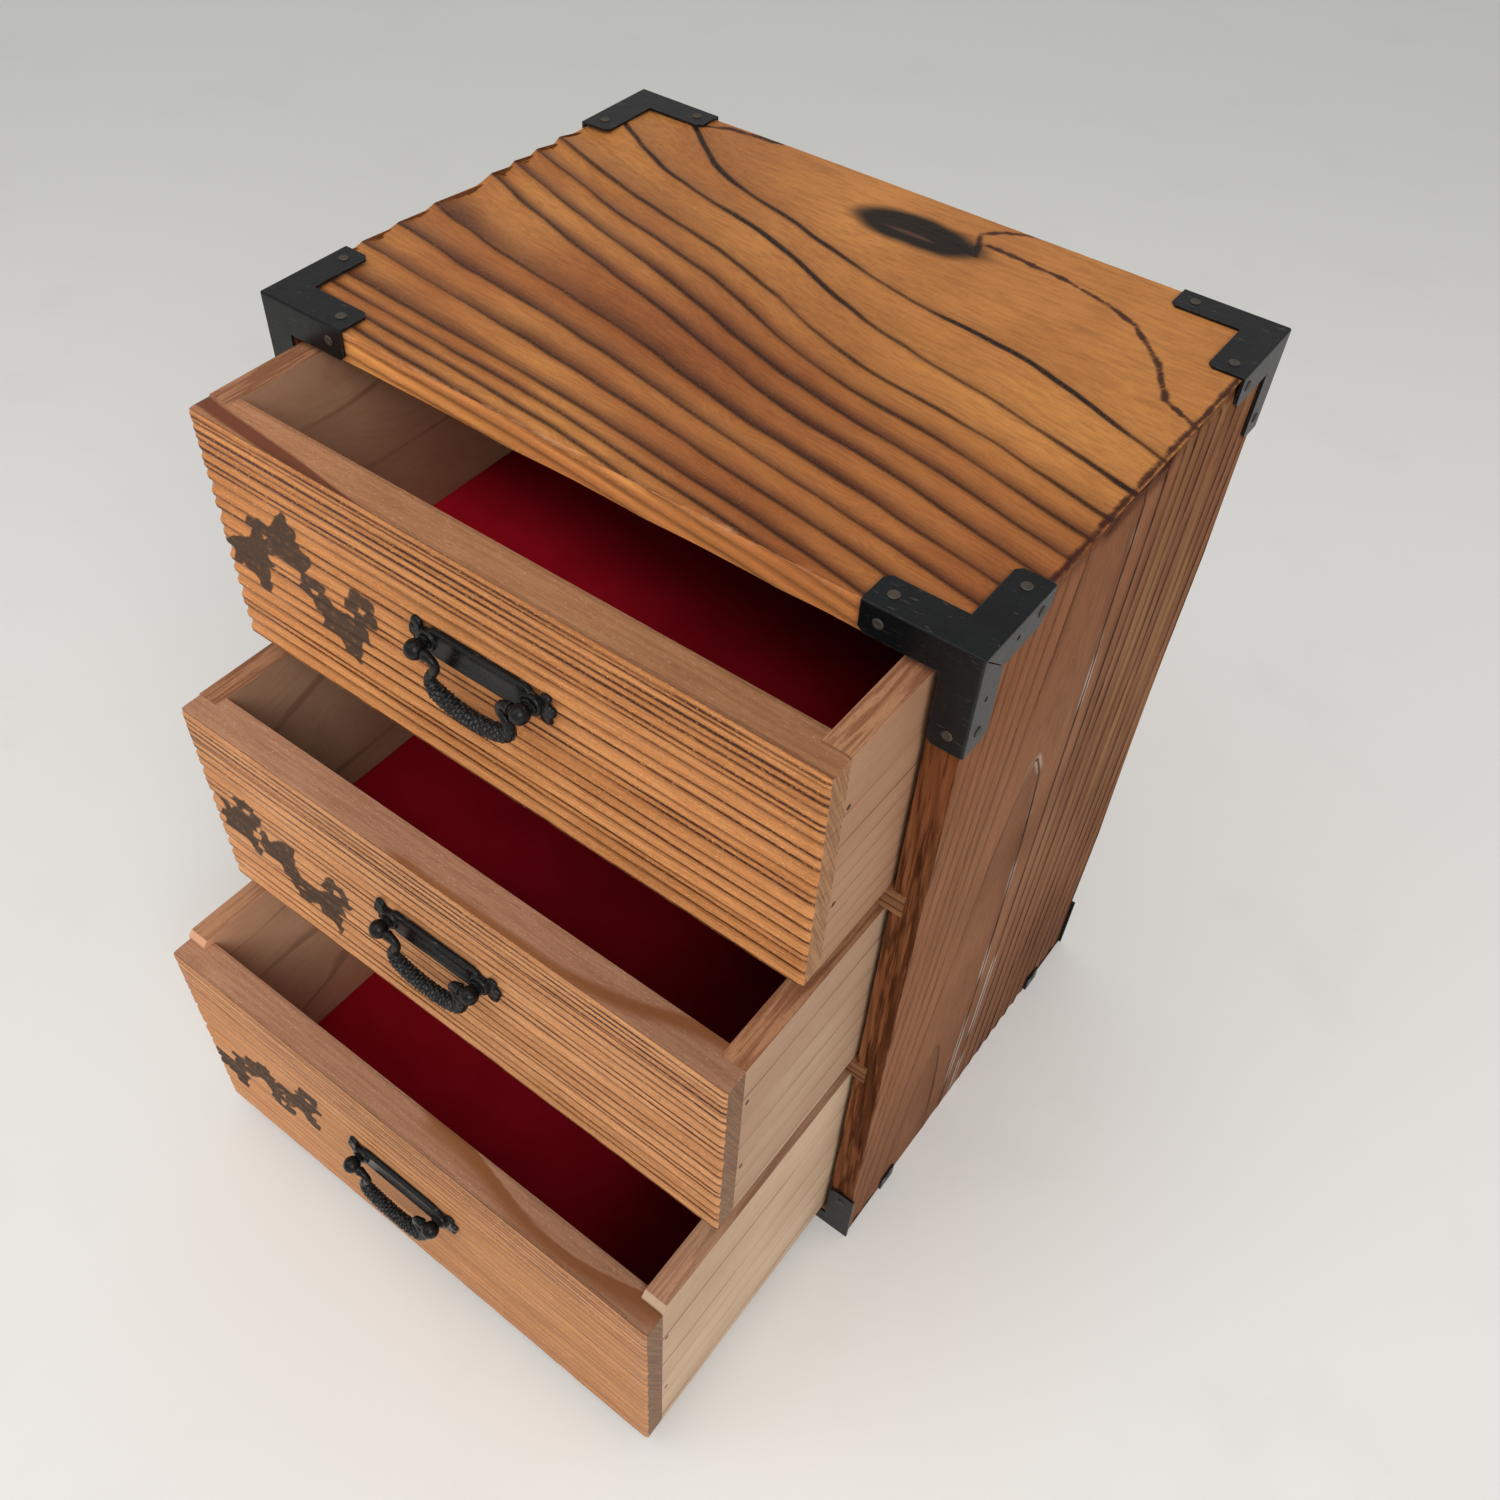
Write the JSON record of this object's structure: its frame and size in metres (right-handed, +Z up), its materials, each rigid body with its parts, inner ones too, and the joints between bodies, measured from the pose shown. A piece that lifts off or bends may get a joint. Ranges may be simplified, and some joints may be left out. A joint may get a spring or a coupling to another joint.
{
  "type": "small tansu chest",
  "caption": "Tabletop cedar tansu chest: brushed wood case with black sheet-iron corners and felt-lined drawers that slide out by cast bail pulls.",
  "frame": {"origin": "centre of the underside of the wooden case", "axes": "+X to the right of someone facing the drawers, +Y from the drawer fronts to the back, +Z up"},
  "size_m": [0.2066, 0.2489, 0.2674],
  "materials": {
    "case_wood": "scorched and wire-brushed cedar, satin",
    "front_wood": "deeply brushed straight-grained cedar, satin",
    "drawer_wood": "planed, unfinished",
    "red_felt": "short crimson pile",
    "black_iron": "satin black sheet iron, worn at the folds",
    "cast_black": "black cast, slightly glossy on the high spots"
  },
  "bodies": {
    "case": {"top_board": "case_wood", "left_side": "case_wood", "right_side": "case_wood", "bottom_board": "case_wood", "lower_divider": "case_wood", "upper_divider": "case_wood", "back_panel": "case_wood", "corner_iron_front_left": "black_iron", "corner_iron_front_right": "black_iron", "corner_iron_back_left": "black_iron", "corner_iron_back_right": "black_iron", "foot_iron_front_left": "black_iron", "foot_iron_front_right": "black_iron", "foot_iron_back_left": "black_iron", "foot_iron_back_right": "black_iron", "corner_nails": "black_iron", "foot_nails": "black_iron", "back_nails": "black_iron"},
    "top_drawer": {"top_drawer_front": "front_wood", "top_drawer_left_side": "drawer_wood", "top_drawer_right_side": "drawer_wood", "top_drawer_back": "drawer_wood", "top_drawer_bottom_panel": "drawer_wood", "top_drawer_felt": "red_felt", "top_drawer_nails": "black_iron", "top_drawer_pull_plate": "cast_black", "top_drawer_pull_posts": "cast_black", "top_drawer_pull_nuts": "cast_black"},
    "top_drawer_pull": {"top_drawer_bail": "cast_black"},
    "middle_drawer": {"middle_drawer_front": "front_wood", "middle_drawer_left_side": "drawer_wood", "middle_drawer_right_side": "drawer_wood", "middle_drawer_back": "drawer_wood", "middle_drawer_bottom_panel": "drawer_wood", "middle_drawer_felt": "red_felt", "middle_drawer_nails": "black_iron", "middle_drawer_pull_plate": "cast_black", "middle_drawer_pull_posts": "cast_black", "middle_drawer_pull_nuts": "cast_black"},
    "middle_drawer_pull": {"middle_drawer_bail": "cast_black"},
    "lower_drawer": {"lower_drawer_front": "front_wood", "lower_drawer_left_side": "drawer_wood", "lower_drawer_right_side": "drawer_wood", "lower_drawer_back": "drawer_wood", "lower_drawer_bottom_panel": "drawer_wood", "lower_drawer_felt": "red_felt", "lower_drawer_nails": "black_iron", "lower_drawer_pull_plate": "cast_black", "lower_drawer_pull_posts": "cast_black", "lower_drawer_pull_nuts": "cast_black"},
    "lower_drawer_pull": {"lower_drawer_bail": "cast_black"}
  },
  "joints": [
    {"name": "top_drawer_slide", "type": "slide", "parent": "case", "child": "top_drawer", "axis": [0, -1, 0], "range_m": [-0.0353, 0.0747]},
    {"name": "top_drawer_pull_hinge", "type": "hinge", "parent": "top_drawer", "child": "top_drawer_pull", "pos_m": [0, -0.11485, 0.22745], "axis": [-1, 0, 0], "range_deg": [0, 120]},
    {"name": "middle_drawer_slide", "type": "slide", "parent": "case", "child": "middle_drawer", "axis": [0, -1, 0], "range_m": [-0.0626, 0.0474]},
    {"name": "middle_drawer_pull_hinge", "type": "hinge", "parent": "middle_drawer", "child": "middle_drawer_pull", "pos_m": [0, -0.14215, 0.14655], "axis": [-1, 0, 0], "range_deg": [0, 120]},
    {"name": "lower_drawer_slide", "type": "slide", "parent": "case", "child": "lower_drawer", "axis": [0, -1, 0], "range_m": [-0.0914, 0.0186]},
    {"name": "lower_drawer_pull_hinge", "type": "hinge", "parent": "lower_drawer", "child": "lower_drawer_pull", "pos_m": [0, -0.17095, 0.0565], "axis": [-1, 0, 0], "range_deg": [0, 120]}
  ]
}
